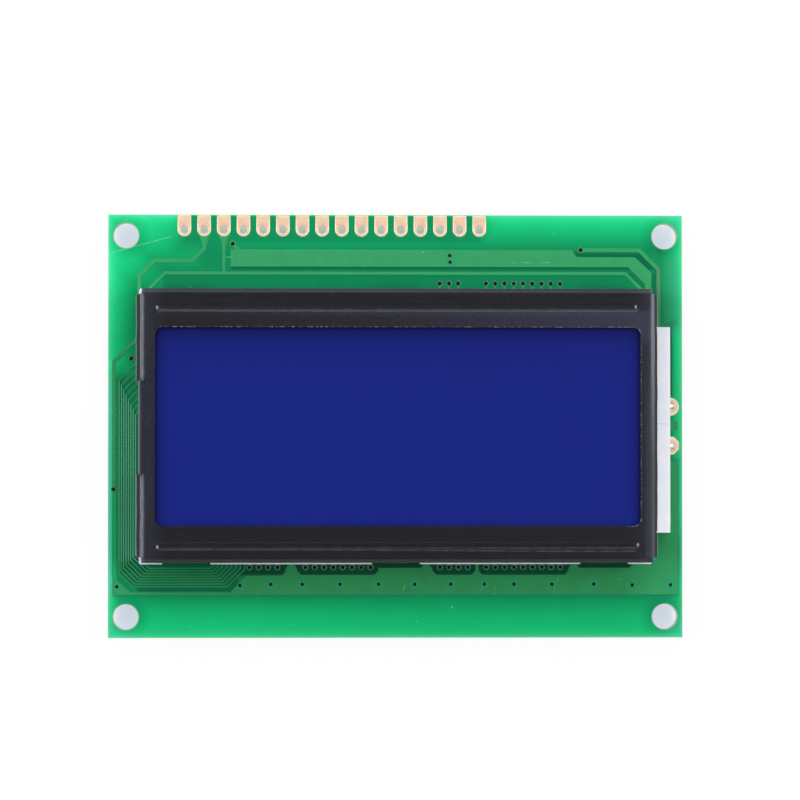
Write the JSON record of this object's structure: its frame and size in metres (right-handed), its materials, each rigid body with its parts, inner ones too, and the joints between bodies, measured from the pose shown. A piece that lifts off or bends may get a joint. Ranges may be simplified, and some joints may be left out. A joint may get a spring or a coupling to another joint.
{
  "type": "character lcd module",
  "caption": "Flat display module: a green board carries a black pressed-steel frame round a blue character glass, with a white backlight case and a row of solder holes.",
  "frame": {"origin": "centre of the board's outline, at the height of the tips of the frame's tongues on which the module rests", "axes": "+X along the board's long side, to the right of the display as read; +Y towards the row of solder holes; +Z out of the display's face"},
  "size_m": [0.0742, 0.0546, 0.0109],
  "materials": {
    "laminate": "glass-fibre laminate under green solder mask",
    "gold_plating": "gold-plated copper",
    "masked_copper": "copper under green solder mask",
    "tinned_copper": "tinned copper",
    "black_steel": "black semi-gloss coating on steel sheet",
    "white_plastic": "moulded white plastic",
    "elastomer": "layered conductive elastomer",
    "white_film": "matt white film",
    "acrylic": "clear acrylic",
    "blue_film": "deep blue polarising film",
    "cell_glass": "clear cell glass",
    "lamp_resin": "white lamp resin",
    "tinned_wire": "tinned wire",
    "solder": "solder",
    "black_epoxy": "poured black epoxy",
    "resistor_ceramic": "glazed black resistor body",
    "capacitor_ceramic": "tan capacitor body"
  },
  "bodies": {
    "root": {"pcb": "laminate", "header_pads": "gold_plating", "backlight_pads": "gold_plating", "front_copper": "masked_copper", "contact_fingers": "gold_plating", "rear_copper": "tinned_copper", "bezel": "black_steel", "backlight_case": "white_plastic", "elastomer_strip_upper": "elastomer", "elastomer_strip_lower": "elastomer", "reflector_sheet": "white_film", "light_guide": "acrylic", "diffuser_sheet": "white_film", "rear_polariser": "blue_film", "rear_glass": "cell_glass", "front_glass": "cell_glass", "front_polariser": "blue_film", "lamp_board": "laminate", "lamps": "lamp_resin", "backlight_leads": "tinned_wire", "backlight_solder": "solder", "controller_drop": "black_epoxy", "driver_drops": "black_epoxy", "chip_resistors": "resistor_ceramic", "chip_capacitors": "capacitor_ceramic", "chip_ends": "solder"}
  },
  "joints": []
}
